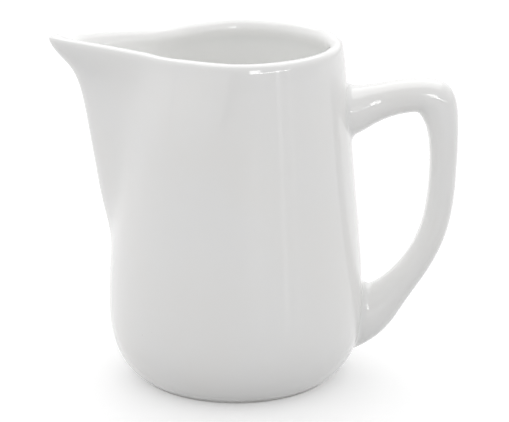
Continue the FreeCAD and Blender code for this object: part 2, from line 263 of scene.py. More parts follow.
def wall_radius(angle, radius, z, reach):
    """Distance from the axis to a run of the wall, at an angle from the beak."""
    drawn_in = radius - pinch(z, angle)
    if reach <= radius + 1e-6:
        return drawn_in
    half_angle, distance = beak_sides(z)
    distance -= body_radius(z) - radius
    edge = max(0.02, math.asin(min(0.99, distance / reach)) - half_angle)
    turn = min(math.pi / 2, math.hypot(angle, edge) + half_angle)
    side = distance / math.sin(turn)
    height_share = min(1.0, max(0.0, (z - SPOUT_FOLD_FROM_Z) / (HEIGHT - SPOUT_FOLD_FROM_Z)))
    fold = SPOUT_FOLD_LOW + (SPOUT_FOLD_TOP - SPOUT_FOLD_LOW) * height_share**2
    overlap = max(0.0, 1 - abs(side - drawn_in) / fold)
    return max(side, drawn_in) + fold * overlap**2 / 4


def lip_climb(degrees):
    """How far the lip stands above its level run, at an angle from the beak."""
    tip = SPOUT_RISE * math.exp(-((degrees / SPOUT_RISE_DEG) ** 2))
    sag = LIP_DIP * math.exp(-(((degrees - LIP_DIP_DEG) / LIP_DIP_SPREAD_DEG) ** 2))
    return tip - sag


def vessel_net():
    """Control points, one row per column. Radii are raised so that the smoothed surface keeps its size."""
    net = []
    for i in range(COLUMNS):
        theta = math.pi / 2 + 2 * math.pi * i / COLUMNS
        theta = (theta + math.pi) % (2 * math.pi) - math.pi
        spacing = 2 * math.pi / COLUMNS * (1 - (1 - FRONT_DENSITY) * math.cos(theta))
        angle = theta - (1 - FRONT_DENSITY) * math.sin(theta)
        raised = 3 / (2 + math.cos(spacing))
        climb = lip_climb(math.degrees(abs(angle)))
        column = []
        for radius, z, reach, lift in outer_rows() + rim_rows() + inner_rows():
            r = wall_radius(angle, radius, z, reach) * raised
            column.append((-r * math.cos(angle), -r * math.sin(angle), z + lift * climb))
        net.append(column)
    return np.array(net)


def bar_net():
    """Control points of the handle's bar, one row per column round it."""
    raised = 3 / (2 + math.cos(2 * math.pi / HANDLE_COLUMNS))
    normals = []
    for i in range(len(HANDLE_PATH)):
        before, after = HANDLE_PATH[max(0, i - 1)], HANDLE_PATH[min(len(HANDLE_PATH) - 1, i + 1)]
        dx, dz = after[0] - before[0], after[1] - before[1]
        normals.append((-dz / math.hypot(dx, dz), dx / math.hypot(dx, dz)))
    net = []
    for i in range(HANDLE_COLUMNS):
        angle = 2 * math.pi * i / HANDLE_COLUMNS
        across = math.copysign(abs(math.cos(angle)) ** HANDLE_SQUARENESS, math.cos(angle)) * raised
        aside = math.copysign(abs(math.sin(angle)) ** HANDLE_SQUARENESS, math.sin(angle)) * raised
        net.append(
            [
                (x + nx * thick * across, wide * aside, z + nz * thick * across)
                for (x, z, thick, wide), (nx, nz) in zip(HANDLE_PATH, normals)
            ]
        )
    return np.array(net)


# ---------------------------------------------------------------- cubic B-spline evaluation
def around_weights(u, count):
    """Weights of a net's columns at periodic parameters u."""
    base = np.floor(u).astype(int)
    f = u - base
    weights = ((1 - f) ** 3, 3 * f**3 - 6 * f**2 + 4, -3 * f**3 + 3 * f**2 + 3 * f + 1, f**3)
    table = np.zeros((len(u), count))
    for k, weight in enumerate(weights):
        np.add.at(table, (np.arange(len(u)), (base - 1 + k) % count), weight / 6)
    return table


def along_weights(v, count):
    """Weights of a net's rows at clamped parameters v, from 0 to count - 3."""
    v = np.clip(v, 0, count - 3 - 1e-9)
    knots = np.array([0.0] * 3 + list(range(count - 2)) + [count - 3.0] * 3)
    table = np.array([(knots[i] <= v) & (v < knots[i + 1]) for i in range(len(knots) - 1)], float)
    for degree in (1, 2, 3):
        raised = []
        for i in range(len(table) - 1):
            left, right = knots[i + degree] - knots[i], knots[i + degree + 1] - knots[i + 1]
            total = np.zeros(len(v))
            if left > 0:
                total += (v - knots[i]) / left * table[i]
            if right > 0:
                total += (knots[i + degree + 1] - v) / right * table[i + 1]
            raised.append(total)
        table = np.array(raised)
    return table.T


def surface(net, u, v):
    """Points on the grid of parameters u by v."""
    rows = np.tensordot(around_weights(u, net.shape[0]), net, (1, 0))
    return np.einsum("bj,ajk->abk", along_weights(v, net.shape[1]), rows, optimize=True)


H = 1e-3  # parameter step of the central differences


def unit(vectors):
    return vectors / np.maximum(np.linalg.norm(vectors, axis=-1, keepdims=True), 1e-12)


def surface_normals(net, u, v):
    """Unit normals on the grid, by central differences."""
    du = surface(net, u + H, v) - surface(net, u - H, v)
    dv = surface(net, u, v + H) - surface(net, u, v - H)
    return unit(np.cross(du, dv))


def points_on(net, u, v):
    """Points at parameter pairs (u[i], v[i])."""
    rows = np.tensordot(around_weights(u, net.shape[0]), net, (1, 0))
    return np.einsum("aj,ajk->ak", along_weights(v, net.shape[1]), rows)


def normals_on(net, u, v):
    """Unit normals at parameter pairs, by central differences."""
    du = points_on(net, u + H, v) - points_on(net, u - H, v)
    dv = points_on(net, u, v + H) - points_on(net, u, v - H)
    return unit(np.cross(du, dv))


# ---------------------------------------------------------------- from nets to Blender meshes
def mesh_from(name, verts, faces):
    """A mesh from an array of points and a list of vertex loops."""
    mesh = bpy.data.meshes.new(name)
    sizes = np.fromiter((len(f) for f in faces), np.int32, len(faces))
    loops = np.fromiter((i for f in faces for i in f), np.int32, int(sizes.sum()))
    mesh.vertices.add(len(verts))
    mesh.vertices.foreach_set("co", np.asarray(verts, np.float32).ravel())
    mesh.loops.add(len(loops))
    mesh.loops.foreach_set("vertex_index", loops)
    mesh.polygons.add(len(faces))
    mesh.polygons.foreach_set("loop_start", np.concatenate([[0], np.cumsum(sizes)[:-1]]).astype(np.int32))
    mesh.polygons.foreach_set("use_smooth", np.ones(len(faces), bool))
    mesh.update(calc_edges=True)
    return mesh


def new_piece(name, verts, faces, corner_normals=None, attributes=None):
    """A mesh object from points in metres, with its own corner normals where given."""
    mesh = mesh_from(name, verts, faces)
    for label, values in (attributes or {}).items():
        layer = mesh.attributes.new(label, "FLOAT", "POINT")
        layer.data.foreach_set("value", np.asarray(values, np.float32))
    if corner_normals is not None:
        mesh.normals_split_custom_set(np.asarray(corner_normals, np.float32).tolist())
    piece = bpy.data.objects.new(name, mesh)
    bpy.context.scene.collection.objects.link(piece)
    return piece


def grid_faces(around, rows):
    """Quads over rings of points; ring r holds the points r * around to (r + 1) * around."""
    faces = []
    for r in range(rows - 1):
        for a in range(around):
            b = (a + 1) % around
            faces.append((r * around + a, r * around + b, (r + 1) * around + b, (r + 1) * around + a))
    return faces


def winds_inward(face, verts, normals):
    """Whether a face's winding runs against the normal at its first point."""
    p0, p1, p2 = (verts[i] for i in face[:3])
    return np.cross(p1 - p0, p2 - p0) @ normals[face[0]] < 0


def fit_to_frame(points, node_lows, node_highs):
    """Scale and shift from the net's own millimetre box onto the CAD box, which has the same shape."""
    low, high = points.reshape(-1, 3).min(0), points.reshape(-1, 3).max(0)
    scale = (node_highs - node_lows) / (high - low)
    return scale, node_lows - low * scale


def cad_extent(*nodes):
    """Low and high corner of the box round some CAD nodes, in metres."""
    lows = np.array([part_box(n)[0] for n in nodes]).min(0)
    highs = np.array([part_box(n)[1] for n in nodes]).max(0)
    return lows, highs


def bend_of(points, normals):
    """Bend per metre of a grid closed round its first axis: above 0 on edges, below 0 in hollows."""

    def bend(axis):
        ahead_p, back_p = np.roll(points, -1, axis), np.roll(points, 1, axis)
        ahead_n, back_n = np.roll(normals, -1, axis), np.roll(normals, 1, axis)
        chord = ahead_p - back_p
        turn = ((ahead_n - back_n) * chord).sum(-1) / np.maximum((chord**2).sum(-1), 1e-14)
        if axis == 1:
            turn[:, 0], turn[:, -1] = turn[:, 1], turn[:, -2]
        return turn

    return bend(0) + bend(1)


# ---------------------------------------------------------------- vessel: master surface, cut in three
def vessel_master():
    """The whole vessel as one closed mesh, with its exact normals kept as a point attribute."""
    net = vessel_net()
    u = np.arange(COLUMNS * VESSEL_AROUND) / VESSEL_AROUND
    v = np.arange((net.shape[1] - DEGREE) * VESSEL_ALONG + 1) / VESSEL_ALONG
    points = surface(net, u, v)
    scale, shift = fit_to_frame(points, *cad_extent("body", "spout", "spout_slip_seam"))
    points = points * scale + shift
    normals = unit(surface_normals(net, u, v) / scale)
    if normals[0, OUTER_ROW] @ (points[0, OUTER_ROW] * (1, 1, 0)) < 0:
        normals = -normals
    bend = bend_of(points, normals)
    around = len(u)
    rings = list(points.swapaxes(0, 1))
    ring_normals = list(normals.swapaxes(0, 1))
    ring_bends = list(bend.T)
    down, up = np.array([0.0, 0.0, -1.0]), np.array([0.0, 0.0, 1.0])
    for k in range(1, DISC_RINGS):
        shrink = (DISC_RINGS - k) / (DISC_RINGS - k + 1)
        inwards = np.array([shrink, shrink, 1.0])
        rings = [rings[0] * inwards, *rings, rings[-1] * inwards]
        ring_normals = [np.tile(down, (around, 1)), *ring_normals, np.tile(up, (around, 1))]
        ring_bends = [np.zeros(around), *ring_bends, np.zeros(around)]
    first = len(rings) * around
    last = first + 1
    verts = np.concatenate([*rings, [[0, 0, rings[0][0][2]], [0, 0, rings[-1][0][2]]]])
    nrm = np.concatenate([*ring_normals, [down, up]])
    bends = np.concatenate([*ring_bends, [0, 0]])
    faces = grid_faces(around, len(rings))
    top = first - around
    for a in range(around):
        b = (a + 1) % around
        faces.append((b, a, first))
        faces.append((top + a, top + b, last))
    if winds_inward(faces[(DISC_RINGS - 1 + OUTER_ROW) * around], verts, nrm):
        faces = [tuple(reversed(f)) for f in faces]
    mesh = mesh_from("vessel_master", verts, faces)
    layer = mesh.attributes.new("exact_normal", "FLOAT_VECTOR", "POINT")
    layer.data.foreach_set("vector", nrm.astype(np.float32).ravel())
    layer = mesh.attributes.new("bend", "FLOAT", "POINT")
    layer.data.foreach_set("value", bends.astype(np.float32))
    return mesh


def seam_plane(offset):
    """Point and unit normal of the beak's sloping seam, moved by offset mm towards the beak."""
    along = Vector((CUT_TOP[0] - CUT_FOOT[0], 0, CUT_TOP[1] - CUT_FOOT[1])).normalized()
    towards_beak = Vector((-along.z, 0, along.x))
    point = (Vector((CUT_FOOT[0], 0, CUT_FOOT[1])) + towards_beak * offset) * MM
    return point, towards_beak


def cut_piece(name, master, planes):
    """The part of the master inside planes of (point, outward normal), closed with flat cuts."""
    bm = bmesh.new()
    bm.from_mesh(master)
    normal_layer = bm.verts.layers.float_vector["exact_normal"]
    cut_mark = bm.faces.layers.int.new("cut")
    for number, (point, outward) in enumerate(planes, 1):
        result = bmesh.ops.bisect_plane(
            bm,
            geom=bm.verts[:] + bm.edges[:] + bm.faces[:],
            dist=CUT_TOLERANCE,
            plane_co=point,
            plane_no=outward,
            clear_outer=True,
        )
        edges = [e for e in result["geom_cut"] if isinstance(e, bmesh.types.BMEdge)]
        filled = bmesh.ops.triangle_fill(bm, edges=edges, use_beauty=True, normal=outward)
        for face in (f for f in filled["geom"] if isinstance(f, bmesh.types.BMFace)):
            face[cut_mark] = number
            if face.normal.dot(outward) < 0:
                face.normal_flip()
    bm.normal_update()
    corner_normals = []
    for face in bm.faces:
        face.smooth = True
        if face[cut_mark]:
            flat = planes[face[cut_mark] - 1][1]
            corner_normals += [flat] * len(face.loops)
        elif abs(face.normal.z) > LEVEL and face.calc_center_median().z < UNDERSIDE_TOP * MM:
            corner_normals += [Vector((0, 0, -1))] * len(face.loops)
        else:
            corner_normals += [loop.vert[normal_layer].normalized() for loop in face.loops]
    mesh = bpy.data.meshes.new(name)
    bm.to_mesh(mesh)
    bm.free()
    mesh.normals_split_custom_set([tuple(n) for n in corner_normals])
    for label in ("exact_normal", "cut"):
        mesh.attributes.remove(mesh.attributes[label])
    piece = bpy.data.objects.new(name, mesh)
    bpy.context.scene.collection.objects.link(piece)
    return piece


# ---------------------------------------------------------------- handle and slip joints
def finished_wall():
    """Heights and radii up the finished outer wall on the handle's side."""
    handle_column = COLUMNS / 4
    v = np.arange(0, len(outer_rows()) - 2.1, 0.05)
    points = points_on(vessel_net(), np.full(len(v), handle_column), v)
    return points[:, 2], np.hypot(points[:, 0], points[:, 1])


WALL_Z, WALL_R = finished_wall()


def wall_at(z):
    """Radius of the finished wall at heights z."""
    return np.interp(z, WALL_Z, WALL_R)


def wall_gap(points, offset):
    """How far points in mm stand outside the round body's wall grown by offset."""
    return np.hypot(points[:, 0], points[:, 1]) - wall_at(points[:, 2]) - offset


def crossings(net, u, inside, outside, offset):
    """Parameter on each of the bar's lines u where it comes out of the wall grown by offset."""
    low, high = np.full(len(u), float(inside)), np.full(len(u), float(outside))
    for _ in range(HALVINGS):
        middle = (low + high) / 2
        within = wall_gap(points_on(net, u, middle), offset) < 0
        low, high = np.where(within, middle, low), np.where(within, high, middle)
    return (low + high) / 2


def wall_normals(points):
    """Unit normals of the round wall beside some points."""
    radius = np.hypot(points[:, 0], points[:, 1])
    slope = wall_at(points[:, 2] + 0.5) - wall_at(points[:, 2] - 0.5)
    return unit(np.stack([points[:, 0] / radius, points[:, 1] / radius, -slope], 1))


def onto_wall(points, offset=0.0):
    """Points moved level onto the wall grown by offset."""
    scale = (wall_at(points[:, 2]) + offset) / np.hypot(points[:, 0], points[:, 1])
    return points * np.stack([scale, scale, np.ones(len(points))], 1)


def end_disc(ring, offset):
    """Rings that close an end along the wall grown by offset, from its edge inwards, and their centre."""
    centre = onto_wall(ring.mean(0)[None], offset)[0]
    rings = [onto_wall(centre + (ring - centre) * (1 - k / DISC_RINGS), offset) for k in range(1, DISC_RINGS)]
    return rings, centre


def bar_lines():
    """Parameters of the lines that run along the bar."""
    return np.arange(HANDLE_COLUMNS * BAR_AROUND) / BAR_AROUND


def build_handle(net):
    """Rings, normals and bends along the bar between its slip joints, and the two discs that close it."""
    u = bar_lines()
    spans = net.shape[1] - DEGREE
    start = crossings(net, u, 0, BAR_REACH, SLIP)
    end = crossings(net, u, spans, spans - BAR_REACH_LOW, SLIP)
    stops = [start + (end - start) * step / BAR_STEPS for step in range(BAR_STEPS + 1)]
    points = np.array([points_on(net, u, v) for v in stops])
    nrm = np.array([normals_on(net, u, v) for v in stops])
    half_way = points[BAR_STEPS // 2]
    if ((half_way - half_way.mean(0)) * nrm[BAR_STEPS // 2]).sum() < 0:
        nrm = -nrm
    bend = bend_of(np.swapaxes(points, 0, 1) * MM, np.swapaxes(nrm, 0, 1)).T
    discs = [end_disc(ring, SLIP) for ring in (points[0], points[-1])]
    return points, nrm, bend, discs


def close_with_discs(points, nrm, bend, discs):
    """Joins a tube of rings with its two end discs into points, faces, corner normals and bends."""
    around = points.shape[1]
    (head_rings, head_centre), (tail_rings, tail_centre) = discs
    tube = np.concatenate(points)
    sides = grid_faces(around, len(points))
    ends, closing = [], []

    def add_disc(edge_start, rings, centre, flip):
        starts = [edge_start]
        for ring in rings:
            starts.append(len(tube) + len(closing))
            closing.extend(ring)
        middle = len(tube) + len(closing)
        closing.append(centre)
        made = []
        for s0, s1 in zip(starts, starts[1:]):
            for a in range(around):
                b = (a + 1) % around
                made.append((s0 + a, s0 + b, s1 + b, s1 + a))
        for a in range(around):
            made.append((starts[-1] + a, starts[-1] + (a + 1) % around, middle))
        ends.extend(tuple(reversed(face)) if flip else face for face in made)

    add_disc((len(points) - 1) * around, tail_rings, tail_centre, False)
    add_disc(0, head_rings, head_centre, True)
    verts = np.concatenate([tube, closing])
    into_wall = -wall_normals(verts)
    vertex_normals = np.concatenate([*nrm, into_wall[len(tube):]])
    bends = np.concatenate([*bend, np.zeros(len(closing))])
    if winds_inward(sides[0], verts, vertex_normals):
        sides, ends = ([tuple(reversed(face)) for face in group] for group in (sides, ends))
    corners = [vertex_normals[i] for face in sides for i in face]
    corners += [into_wall[i] for face in ends for i in face]
    return verts, sides + ends, corners, bends


def bezier(p0, p1, p2, p3, t):
    return (1 - t) ** 3 * p0 + 3 * (1 - t) ** 2 * t * p1 + 3 * (1 - t) * t**2 * p2 + t**3 * p3


def build_joint(net, end):
    """Rings and normals up a slip joint's fillet from the wall to the bar, and rings back under the bar."""
    u = bar_lines()
    spans = net.shape[1] - DEGREE
    inside, outside = (0, BAR_REACH) if end == "upper" else (spans, spans - BAR_REACH_LOW)
    step = math.copysign(0.02, outside - inside)
    level = crossings(net, u, inside, outside, 0.0)
    corner = points_on(net, u, level)
    ahead = points_on(net, u, level + step)
    speed = np.linalg.norm(ahead - corner, axis=1) / abs(step)
    along = unit(ahead - corner)
    opposite = np.roll(corner, len(u) // 2, axis=0)
    off_bar = corner - (corner + opposite) / 2
    off_bar = unit(off_bar - along * (off_bar * along).sum(1)[:, None])
    off_wall = wall_normals(corner)
    aside = unit(off_bar - off_wall * (off_bar * off_wall).sum(1)[:, None])
    wedge = np.arccos(np.clip((aside * along).sum(1), -0.99, 0.99))
    reach = np.minimum(FILLET_MAX, FILLET_RADIUS / np.tan(wedge / 2))
    foot = onto_wall(corner + aside * reach[:, None])
    top_level = level + np.sign(step) * reach / speed
    top = points_on(net, u, top_level)
    top_ahead = points_on(net, u, top_level + step)
    top_tangent = unit(top_ahead - top)
    foot_tangent = unit(corner - foot)
    foot_normal = wall_normals(foot)
    foot_tangent = unit(foot_tangent - foot_normal * (foot_tangent * foot_normal).sum(1)[:, None])
    pull = FILLET_FULLNESS * reach[:, None]
    rings = []
    for k in range(FILLET_STEPS + 1):
        t = k / FILLET_STEPS
        curve = bezier(foot, foot + foot_tangent * pull, top - top_tangent * pull, top, t)
        rings.append(curve - foot_normal * FILLET_SINK * (1 - t) ** 3)
    rings = np.array(rings)
    du = np.roll(rings, -1, 1) - np.roll(rings, 1, 1)
    dv = np.gradient(rings, axis=0)
    normals = unit(np.cross(du, dv))
    if (normals * off_bar[None]).sum() < 0:
        normals = -normals
    bar_normals = normals_on(net, u, top_level)
    if (bar_normals * off_bar).sum() < 0:
        bar_normals = -bar_normals
    normals[0], normals[-1] = foot_normal, bar_normals
    end_level = crossings(net, u, inside, outside, SLIP)
    shares = (np.arange(UNDER_STEPS) + 1) / UNDER_STEPS
    under = [points_on(net, u, top_level + (end_level - top_level) * share) for share in shares]
    return rings, normals, np.array(under)


def build_joint_piece(name, net, end, place):
    """One slip joint: a disc on the wall, a fillet up the bar, a sleeve under the bar and its end disc."""
    rings, normals, under = build_joint(net, end)
    around = rings.shape[1]
    sleeve_normal = -normals[-1]
    # the fillet is given a hollow's bend, so it takes the darker tint: pooled glaze and painted shade
    pooled_and_shaded = -POOLED_AND_SHADED_BEND * np.sin(np.linspace(0, math.pi, len(rings)))
    bend = np.concatenate([np.repeat(pooled_and_shaded[:, None], around, axis=1), np.zeros(under.shape[:2])])
    nrm = np.concatenate([normals, np.repeat(sleeve_normal[None], len(under), axis=0)])
    discs = [end_disc(rings[0], -FILLET_SINK), end_disc(under[-1], SLIP)]
    tube = np.concatenate([rings, under])
    verts, faces, corners, bends = close_with_discs(tube, nrm, bend, discs)
    corners = iter(corners)
    fixed = []
    for face in faces:
        in_fillet = max(face) < len(rings) * around
        in_tube = max(face) < len(tube) * around
        for i, normal in zip(face, corners):
            if in_fillet:
                normal = normals[i // around][i % around]
            elif in_tube:
                normal = sleeve_normal[i % around]
            fixed.append(normal)
    return new_piece(name, place(verts), faces, fixed, {"bend": bends})


# ---------------------------------------------------------------- foot ring
def build_foot_ring():
    """The bare ring: a section with rounded lower edges, turned round the axis."""
    low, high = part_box("foot_ring")
    outer_top = (high.x - low.x) / 2
    bottom_z, top_z = low.z, high.z
    inner, outer, edge = FOOT_INNER_RADIUS * MM, FOOT_OUTER_RADIUS * MM, FOOT_EDGE * MM
    slope = math.atan2(top_z - bottom_z, outer_top - outer)
    section = [(inner - edge, top_z)]
    for k in range(FOOT_EDGE_STEPS + 1):
        a = math.pi + k / FOOT_EDGE_STEPS * math.pi / 2
        section.append((inner + edge + edge * math.cos(a), bottom_z + edge + edge * math.sin(a)))
    for k in range(1, FOOT_FLAT_STEPS):
        section.append((inner + edge + (outer - inner - 2 * edge) * k / FOOT_FLAT_STEPS, bottom_z))
    centre = outer - edge * FOOT_SLOPE_INSET
    for k in range(FOOT_SLOPE_STEPS + 1):
        a = -math.pi / 2 + k / FOOT_SLOPE_STEPS * slope
        section.append((centre + edge * math.cos(a), bottom_z + edge + edge * math.sin(a)))
    section.append((outer_top, top_z))
    count = len(section)
    verts, faces = [], []
    for k, (r, z) in enumerate(section):
        start, after = k * FOOT_STEPS, (k + 1) % count * FOOT_STEPS
        for a in range(FOOT_STEPS):
            angle = 2 * math.pi * a / FOOT_STEPS
            b = (a + 1) % FOOT_STEPS
            verts.append((r * math.cos(angle), r * math.sin(angle), z))
            faces.append((start + a, after + a, after + b, start + b))
    piece = new_piece("foot_ring_biscuit", verts, faces, None, {"bend": [0.0] * len(verts)})
    bm = bmesh.new()
    bm.from_mesh(piece.data)
    bmesh.ops.recalc_face_normals(bm, faces=bm.faces)
    bm.to_mesh(piece.data)
    bm.free()
    piece.data.set_sharp_from_angle(angle=FOOT_CREASE)
    return piece


# ---------------------------------------------------------------- materials
class Nodes:
    """Short calls for building a node tree."""

    def __init__(self, tree):
        self.tree = tree
        tree.nodes.clear()

    def add(self, kind, inputs=None, **settings):
        node = self.tree.nodes.new(kind)
        for key, value in settings.items():
            setattr(node, key, value)
        for key, value in (inputs or {}).items():
            if isinstance(value, bpy.types.NodeSocket):
                self.tree.links.new(value, node.inputs[key])
            else:
                node.inputs[key].default_value = value
        return node

    def noise(self, where, scale, detail=2.0, roughness=0.5, distortion=0.0):
        node = self.add(
            "ShaderNodeTexNoise",
            {
                "Vector": where,
                "Scale": scale,
                "Detail": detail,
                "Roughness": roughness,
                "Distortion": distortion,
            },
        )
        return node.outputs["Fac"]

    def remap(self, value, low, high, out_low, out_high):
        node = self.add(
            "ShaderNodeMapRange",
            {"Value": value, "From Min": low, "From Max": high, "To Min": out_low, "To Max": out_high},
            clamp=True,
        )
        return node.outputs["Result"]

    def math(self, operation, a, b=0.0):
        return self.add("ShaderNodeMath", {0: a, 1: b}, operation=operation).outputs[0]

    def mix(self, share, a, b):
        node = self.add("ShaderNodeMix", data_type="RGBA")
        for socket, value in ((0, share), (6, a), (7, b)):
            if isinstance(value, bpy.types.NodeSocket):
                self.tree.links.new(value, node.inputs[socket])
            else:
                node.inputs[socket].default_value = value
        return node.outputs[2]


def new_material(name):
    material = bpy.data.materials.new(name)
    material.use_nodes = True
    return material, Nodes(material.node_tree)


def lit_inside_mask(n, where):
    """1 on surfaces that face the axis, which are painted lighter as painted light, 0 on the outside."""
    flat = n.add("ShaderNodeVectorMath", {0: where, 1: (1, 1, 0)}, operation="MULTIPLY")
    outward = n.add("ShaderNodeVectorMath", {0: flat.outputs[0]}, operation="NORMALIZE")
    normal = n.add("ShaderNodeNewGeometry").outputs["True Normal"]
    facing = n.add("ShaderNodeVectorMath", {0: outward.outputs[0], 1: normal}, operation="DOT_PRODUCT")
    return n.remap(facing.outputs["Value"], -0.7, -0.2, 1.0, 0.0)


PORCELAIN_WARM = (0.908, 0.903, 0.890, 1)
PORCELAIN_COOL = (0.912, 0.912, 0.907, 1)
PORCELAIN_INSIDE_PAINTED_LIGHT = (0.966, 0.966, 0.958, 1)  # the base colour of the hollow's wall and floor and of faces turned to the axis, painted lighter than the outside: painted light
# greenish grey in hollows and fillets: partly pooled glaze, partly painted shade
GLAZE_POOLED_AND_PAINTED_SHADE = (0.83, 0.85, 0.845, 1)
GLAZE_THIN = (0.92, 0.918, 0.91, 1)
IRON_SPECK = (0.42, 0.38, 0.32, 1)
GLAZE_RELIEF = 0.00010  # metres of bump that a height of 1 stands for
BISCUIT_DARK = (0.78, 0.775, 0.76, 1)
BISCUIT_PALE = (0.84, 0.835, 0.82, 1)
BISCUIT_GRAIN = (0.66, 0.65, 0.63, 1)
STANDING_MARK = (0.27, 0.265, 0.26, 1)
MARKED_HEIGHT = 0.00035  # metres up from the resting plane that the marks reach
BISCUIT_RELIEF = 0.00006


def glazed_porcelain(name):
    """White porcelain under a clear gloss glaze that thins on edges and pools in hollows; the hollows' darker
    tint is partly painted shade, and the inside is painted lighter as painted light.
    """
    material, n = new_material(name)
    where = n.add("ShaderNodeTexCoord").outputs["Object"]
    bend = n.add("ShaderNodeAttribute", attribute_name="bend").outputs["Fac"]
    edge = n.remap(bend, 90.0, 420.0, 0.0, 1.0)
    # hollows, which take a darker greenish grey: pooled glaze and painted shade
    pool_and_painted_shade = n.remap(bend, -20.0, -220.0, 0.0, 1.0)

    clouds = n.noise(where, 34.0, 3.0, 0.55, 0.4)
    body = n.mix(n.remap(clouds, 0.35, 0.65, 0.0, 1.0), PORCELAIN_WARM, PORCELAIN_COOL)
    # the inside and the faces turned to the axis are painted lighter: painted light
    body = n.mix(lit_inside_mask(n, where), body, PORCELAIN_INSIDE_PAINTED_LIGHT)
    body = n.mix(n.math("MULTIPLY", pool_and_painted_shade, 0.5), body, GLAZE_POOLED_AND_PAINTED_SHADE)
    body = n.mix(n.math("MULTIPLY", edge, 0.45), body, GLAZE_THIN)
    specks = n.add(
        "ShaderNodeTexVoronoi", {"Vector": where, "Scale": 150.0, "Randomness": 1.0}, feature="F1"
    )
    speck = n.remap(specks.outputs["Distance"], 0.022, 0.04, 1.0, 0.0)
    rare = n.math("GREATER_THAN", n.noise(where, 61.0, 1.0), 0.66)
    speck = n.math("MULTIPLY", speck, rare)
    body = n.mix(n.math("MULTIPLY", speck, 0.22), body, IRON_SPECK)

    roughness = n.remap(n.noise(where, 260.0, 4.0, 0.6), 0.3, 0.7, 0.03, 0.075)
    swell = n.noise(where, 62.0, 2.0, 0.45)
    peel = n.noise(where, 420.0, 2.0, 0.5)
    height = n.math("ADD", n.math("MULTIPLY", swell, 0.9), n.math("MULTIPLY", peel, 0.012))
    pinhole = n.remap(specks.outputs["Distance"], 0.0, 0.03, -0.02, 0.0)
    height = n.math("ADD", height, n.math("MULTIPLY", pinhole, rare))
    bump = n.add("ShaderNodeBump", {"Strength": 1.0, "Distance": GLAZE_RELIEF, "Height": height})

    shader = n.add(
        "ShaderNodeBsdfPrincipled",
        {
            "Base Color": body,
            "Roughness": 0.42,
            "IOR": 1.5,
            "Specular IOR Level": 0.25,
            "Coat Weight": 1.0,
            "Coat Roughness": roughness,
            "Coat IOR": 1.52,
            "Coat Normal": bump.outputs["Normal"],
        },
    )
    n.add("ShaderNodeOutputMaterial", {"Surface": shader.outputs["BSDF"]})
    return material


def biscuit_porcelain(name):
    """Bare ground porcelain: matt, fine-grained, with grey marks where it has stood."""
    material, n = new_material(name)
    where = n.add("ShaderNodeTexCoord").outputs["Object"]
    grain = n.noise(where, 1800.0, 4.0, 0.65)
    clouds = n.noise(where, 120.0, 3.0, 0.6, 0.6)
    body = n.mix(n.remap(clouds, 0.3, 0.7, 0.0, 1.0), BISCUIT_DARK, BISCUIT_PALE)
    body = n.mix(n.remap(grain, 0.55, 0.75, 0.0, 0.35), body, BISCUIT_GRAIN)
    split = n.add("ShaderNodeSeparateXYZ", {0: where})
    worn = n.remap(split.outputs["Z"], 0.0, MARKED_HEIGHT, 1.0, 0.0)
    marks = n.remap(n.noise(where, 300.0, 4.0, 0.65, 0.4), 0.5, 0.7, 0.0, 0.4)
    body = n.mix(n.math("MULTIPLY", worn, marks), body, STANDING_MARK)
    bump = n.add("ShaderNodeBump", {"Strength": 0.6, "Distance": BISCUIT_RELIEF, "Height": grain})
    shader = n.add(
        "ShaderNodeBsdfPrincipled",
        {
            "Base Color": body,
            "Roughness": n.remap(grain, 0.3, 0.7, 0.72, 0.92),
            "Normal": bump.outputs["Normal"],
        },
    )
    n.add("ShaderNodeOutputMaterial", {"Surface": shader.outputs["BSDF"]})
    return material


FLOOR_SEEN = ((0.89, 0.892, 0.895, 1), (0.92, 0.92, 0.92, 1))
FLOOR_BOUNCE = (0.48, 0.48, 0.48, 1)  # the share of light that the floor gives back to matt surfaces
FLOOR_GLOW = 0.22  # how far the floor is lifted towards white where it is seen or mirrored
FLOOR_GAP = 0.00005  # the floor lies this far under the foot, so that the two faces never coincide


def floor_material():
    """Pale card, opaque from above and open to a camera that looks up from below it."""
    material, n = new_material("studio_floor")
    where = n.add("ShaderNodeTexCoord").outputs["Object"]
    seen = n.mix(n.noise(where, 3.0, 2.0), *FLOOR_SEEN)
    bounced = n.add("ShaderNodeLightPath").outputs["Is Diffuse Ray"]
    tint = n.mix(bounced, seen, FLOOR_BOUNCE)
    glow = n.math("MULTIPLY", n.math("SUBTRACT", 1.0, bounced), FLOOR_GLOW)
    shader = n.add(
        "ShaderNodeBsdfPrincipled",
        {"Base Color": tint, "Roughness": 0.6, "Emission Color": seen, "Emission Strength": glow},
    )
    from_below = n.add("ShaderNodeNewGeometry").outputs["Backfacing"]
    passed = n.math("GREATER_THAN", n.add("ShaderNodeLightPath").outputs["Transparent Depth"], 0.5)
    clear = n.add("ShaderNodeBsdfTransparent").outputs["BSDF"]
    surface = n.add(
        "ShaderNodeMixShader",
        {0: n.math("MAXIMUM", from_below, passed), 1: shader.outputs["BSDF"], 2: clear},
    )
    n.add("ShaderNodeOutputMaterial", {"Surface": surface.outputs["Shader"]})
    return material


# ---------------------------------------------------------------- build
def dress(piece, material, slot, *nodes):
    """Gives a piece its material, its place on the one body and the CAD nodes that it replaces."""
    piece.data.materials.clear()
    piece.data.materials.append(material)
    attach(piece, BODY)
    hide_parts(*nodes)


glaze = glazed_porcelain("glazed_porcelain")
slip_glaze = glazed_porcelain("glazed_slip")
biscuit = biscuit_porcelain("biscuit_porcelain")

